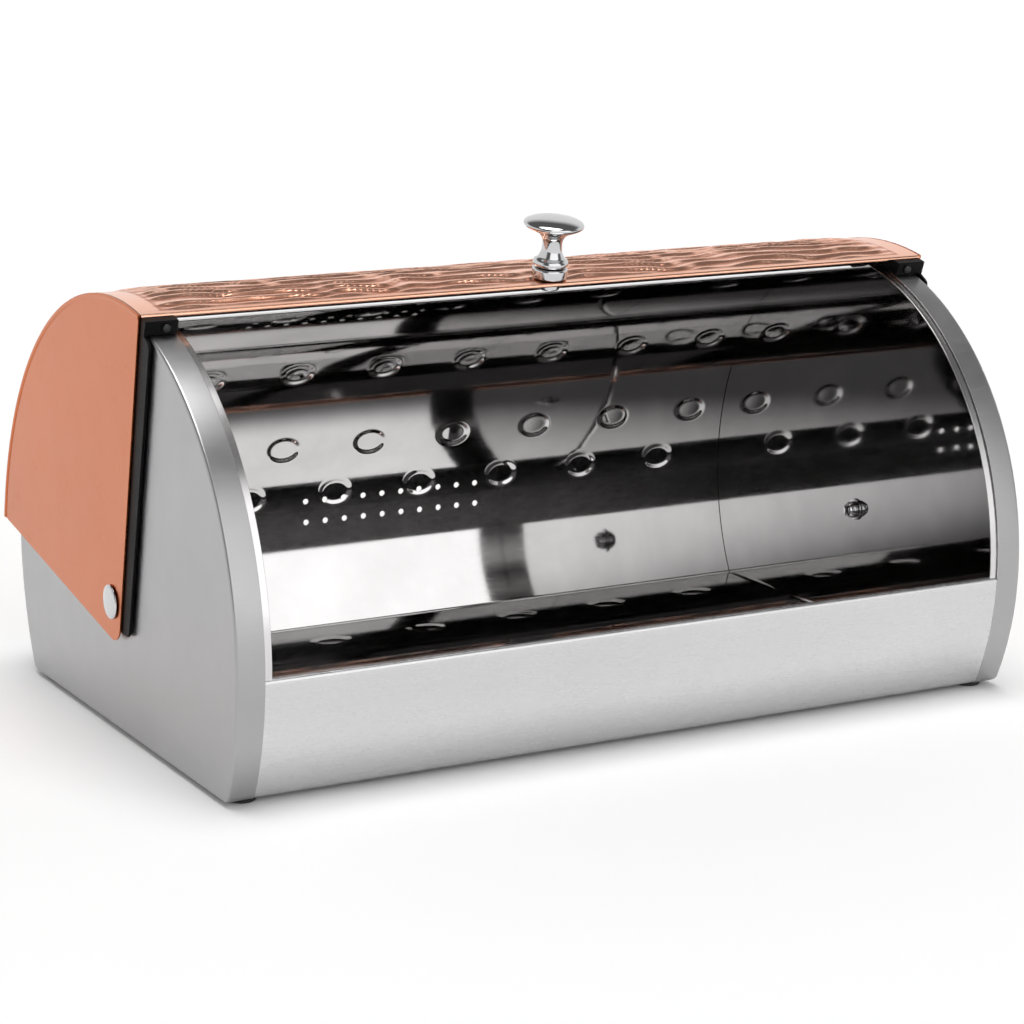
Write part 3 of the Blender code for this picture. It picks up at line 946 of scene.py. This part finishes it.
class BREADBOX_OT_lid_sides(bpy.types.Operator):
    """Lid sides: flat plates with a rolled seam that joins them to the lid sheet along its arc"""

    bl_idname = "bread_box.lid_sides"
    bl_label = "Lid sides"

    def execute(self, context):
        for side, way in (("left", -1), ("right", 1)):
            obj = merged_copy(f"lid_side_{side}", f"lid_end_{side}")
            soften(obj, 0.24 * MM, 2, 50)
            seam = self.seam(way)
            join(obj, [seam])
            smooth(obj, 50, True)
            dress(obj, satin_copper, "copper", "lid", f"lid_side_{side}")
        return {"FINISHED"}

    @staticmethod
    def seam(way):
        """A flattened roll standing just proud of the plate, swept along the arc and closed at both ends."""
        front, rear = sizes().lid_front, sizes().lid_rear
        face, proud = LID_HALF - 0.1 * MM, 0.55 * MM
        points = [lid_point(inset * MM, front, way * (face + out * proud)) for inset, out in SEAM_SECTION]
        obj = draw("seam", points)
        bpy.ops.mesh.select_all(action="SELECT")
        bpy.ops.mesh.edge_face_add()
        sweep(rear - front, LID_CENTRE, 90)
        bpy.ops.mesh.select_all(action="SELECT")
        tidy(obj)
        soften(obj, 0.1 * MM, 2, 60)
        return obj


class BREADBOX_OT_lid_liners(bpy.types.Operator):
    """Black moulded liners inside the lid's ends, with the small screws in their front faces"""

    bl_idname = "bread_box.lid_liners"
    bl_label = "Lid liners"

    def execute(self, context):
        for side in ("left", "right"):
            obj = merged_copy(f"lid_liner_{side}", f"liner_{side}")
            soften(obj, 0.35 * MM, 3, 50)
            smooth(obj, 50, True)
            dress(obj, black_plastic, "black_plastic", "lid", f"lid_liner_{side}")
            screw = merged_copy(f"shoe_screw_{side}", f"liner_screw_{side}")
            soften(screw, 0.15 * MM, 2, 30)
            smooth(screw, 40, True)
            dress(screw, screw_painted_shade, "chrome", "lid", f"shoe_screw_{side}")
        return {"FINISHED"}


# ---------------------------------------------------------------- turned pieces


def turned(name, profile, axis_foot, axis, steps=None, refine=0, corner=0.0):
    """A piece turned from (radius, height) points in millimetres about an axis from its foot."""
    steps = steps or sizes().lathe_steps
    obj = draw(name, [(radius * MM, 0, height * MM) for radius, height in profile])
    bpy.ops.mesh.select_all(action="SELECT")
    bpy.ops.mesh.spin(steps=steps, angle=math.tau, center=(0, 0, 0), axis=(0, 0, 1), use_auto_merge=True)
    tidy(obj)
    if corner:
        soften(obj, corner, 3, 30)
    if refine:
        apply_modifier(obj, "SUBSURF", levels=refine, render_levels=refine)
    turn = Vector(axis).to_track_quat("Z", "X")
    obj.rotation_mode = "QUATERNION"
    obj.rotation_quaternion = turn
    obj.location = axis_foot
    pick(obj)
    bpy.ops.object.transform_apply(location=True, rotation=True, scale=True)
    obj.rotation_mode = "XYZ"
    smooth(obj, 35)
    return obj


def knob_seat():
    """Where the knob's axis meets the lid sheet, and the axis itself."""
    turn = math.radians(KNOB_TURN)
    return lid_point(0, turn), Vector((0, -math.cos(turn), math.sin(turn)))


class BREADBOX_OT_knob(bpy.types.Operator):
    """Turned chrome knob: a wide domed button on a waisted stem, its collar, and a screw inside the lid"""

    bl_idname = "bread_box.knob"
    bl_label = "Knob"

    def execute(self, context):
        foot, axis = knob_seat()
        knob = turned("knob_button", KNOB_BUTTON, foot, axis, 48, 1)
        dress(knob, chrome, "chrome", "lid", "knob")
        ring = turned("knob_base", KNOB_COLLAR, foot, axis, 96, 0, 0.3 * MM)
        dress(ring, chrome, "chrome", "lid", "knob_collar")
        under = turned("knob_fixing", KNOB_SCREW, foot, axis, 64, 0, 0.25 * MM)
        dress(under, chrome, "chrome", "lid", "knob_screw")
        return {"FINISHED"}


class BREADBOX_OT_pivots(bpy.types.Operator):
    """Pivot pins with domed heads, bushes, washers and cap nuts"""

    bl_idname = "bread_box.pivots"
    bl_label = "Pivots"

    def execute(self, context):
        gap, inside, outside, head = GAP / MM, END_INSIDE / MM, HALF_OUT / MM, LID_HALF / MM + 0.3
        pin = [(0, inside - 4.4), (2.5, inside - 4.4), (2.5, head)]
        pin += [(radius, head + height) for radius, height in PIN_HEAD]
        nut = [(radius, inside + height) for radius, height in (*NUT_CROWN, *NUT_THREAD)]
        kinds = (
            ("pin", pin, chrome, "chrome", 64, 0.12),
            ("bush", self.ring(4.0, outside + gap, LID_HALF / MM), nylon, "nylon", 48, 0.1),
            ("washer", self.ring(5.5, inside - 0.9, inside - gap), chrome, "chrome", 48, 0.1),
            ("nut", nut, chrome, "chrome", 48, 0.15),
        )
        foot = Vector((0, PIVOT.y, PIVOT.z))
        for side, way in (("left", -1), ("right", 1)):
            for kind, profile, finish, slot, steps, corner in kinds:
                made = turned(f"{kind}_{side}", profile, foot, (way, 0, 0), steps, 0, corner * MM)
                dress(made, finish, slot, "body", f"pivot_{kind}_{side}")
        return {"FINISHED"}

    @staticmethod
    def ring(radius, low, high):
        """Closed profile of a ring round the pin."""
        bore = 2.8
        return [(bore, low), (radius, low), (radius, high), (bore, high), (bore, low)]


class BREADBOX_OT_feet(bpy.types.Operator):
    """Rubber feet: low round pads with a rounded rim"""

    bl_idname = "bread_box.feet"
    bl_label = "Feet"

    def execute(self, context):
        for end in ("front", "rear"):
            for side in ("left", "right"):
                node = f"foot_{end}_{side}"
                low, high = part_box(node)
                middle = (low + high) / 2
                height = (high.z - low.z) / MM
                profile = (*FOOT_PROFILE, (6.0, height), (0, height))
                place = (middle.x, middle.y, low.z)
                foot = turned(f"pad_{end}_{side}", profile, place, (0, 0, 1), 48, 0, 0.15 * MM)
                dress(foot, rubber, "rubber", "body", node)
        return {"FINISHED"}


# ---------------------------------------------------------------- stage


class BREADBOX_OT_stage(bpy.types.Operator):
    """Pale floor, soft lights, surroundings and the camera"""

    bl_idname = "bread_box.stage"
    bl_label = "Stage"

    def execute(self, context):
        self.floor()
        self.surroundings()
        self.camera()
        return {"FINISHED"}

    @staticmethod
    def floor():
        clear_bench()
        bpy.ops.mesh.primitive_plane_add(size=60, location=(0, 0, 0))
        floor = bpy.context.active_object
        floor.name = "floor"
        finish = Finish("pale_floor", (0.93, 0.93, 0.93), 0.0, 0.9)
        cloud = finish.noise(1.5, None, 2.0, 0.5)
        finish.feed(Base_Color=finish.tint(cloud, (0.925, 0.925, 0.925), (0.94, 0.94, 0.94)))
        floor.data.materials.append(finish.material)

    @staticmethod
    def surroundings():
        """A dim room with a broad soft light in front, one overhead, and pale walls at the sides and back."""
        world = bpy.data.worlds.new("studio")
        bpy.context.scene.world = world
        world.use_nodes = True
        room = Nodes(world.node_tree)
        background = room.tree.nodes["Background"]
        toward = room.tree.nodes.new("ShaderNodeTexCoord").outputs["Generated"]
        split = room.add("ShaderNodeSeparateXYZ", {}, {0: Wire(room, toward)})
        x, y, z = (Wire(room, split.socket.node.outputs[i]) for i in range(3))
        bearing = x.sum("ARCTAN2", x, 0 - y)
        around = bearing.sum("ABSOLUTE", bearing)
        height = z.sum("ARCSINE", z)
        degree = math.pi / 180
        ahead = bearing - 3 * degree
        front = 1 - room.soft_step(ahead.sum("ABSOLUTE", ahead), 30 * degree, 46 * degree)
        front *= 1 - room.soft_step(height, 42 * degree, 56 * degree)
        low = 1 - room.soft_step(height, 30 * degree, 46 * degree)
        sides = room.soft_step(around, 62 * degree, 84 * degree) * low
        overhead = room.soft_step(height, 68 * degree, 76 * degree)
        dim, softbox, wall, ceiling = 0.13, 1.4, 0.8, 6.5
        light = dim + softbox * front + wall * sides + ceiling * overhead
        room.tree.links.new(light.socket, background.inputs["Strength"])
        background.inputs["Color"].default_value = (1, 1, 1, 1)

    @staticmethod
    def camera():
        camera = bpy.data.objects.new("camera", bpy.data.cameras.new("camera"))
        bpy.context.scene.collection.objects.link(camera)
        stand, aim = Vector((-648.2, -1205.8, 325.2)) * MM, Vector((-0.1, 0, 19.6)) * MM
        camera.location = PIVOT + stand
        camera.rotation_euler = (aim - stand).to_track_quat("-Z", "Y").to_euler()
        camera.data.lens = 103.2
        camera.data.sensor_width = 36
        camera.data.clip_start = 0.05
        camera.data.clip_end = 100
        bpy.context.scene.camera = camera
        bpy.context.scene.view_settings.view_transform = "Standard"


class BREADBOX_PT_panel(bpy.types.Panel):
    """Lists the box's sizes, colours and building steps"""

    bl_idname = "BREADBOX_PT_panel"
    bl_label = "Bread Box"
    bl_space_type = "VIEW_3D"
    bl_region_type = "UI"
    bl_category = "Bread Box"

    def draw(self, context):
        layout = self.layout
        for group in (context.scene.bread_box_sizes, context.scene.bread_box_colours):
            box = layout.box()
            for name in group.bl_rna.properties.keys():
                if name not in ("rna_type", "name"):
                    box.prop(group, name)
        for operator in STEPS:
            layout.operator(operator.bl_idname)


STEPS = (
    BREADBOX_OT_stage,
    BREADBOX_OT_back_panel,
    BREADBOX_OT_front_panel,
    BREADBOX_OT_floor_panel,
    BREADBOX_OT_end_caps,
    BREADBOX_OT_opening_trims,
    BREADBOX_OT_lid_sheet,
    BREADBOX_OT_lid_sides,
    BREADBOX_OT_lid_liners,
    BREADBOX_OT_knob,
    BREADBOX_OT_pivots,
    BREADBOX_OT_feet,
)
GROUPS = (BreadBoxSizes, BreadBoxColours)


def register():
    for cls in (*GROUPS, *STEPS, BREADBOX_PT_panel):
        bpy.utils.register_class(cls)
    bpy.types.Scene.bread_box_sizes = PointerProperty(type=BreadBoxSizes)
    bpy.types.Scene.bread_box_colours = PointerProperty(type=BreadBoxColours)


def unregister():
    del bpy.types.Scene.bread_box_sizes
    del bpy.types.Scene.bread_box_colours
    for cls in reversed((*GROUPS, *STEPS, BREADBOX_PT_panel)):
        bpy.utils.unregister_class(cls)


def main():
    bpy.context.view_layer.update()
    register()
    for operator in STEPS:
        module, name = operator.bl_idname.split(".")
        getattr(getattr(bpy.ops, module), name)()


if __name__ == "__main__":
    main()
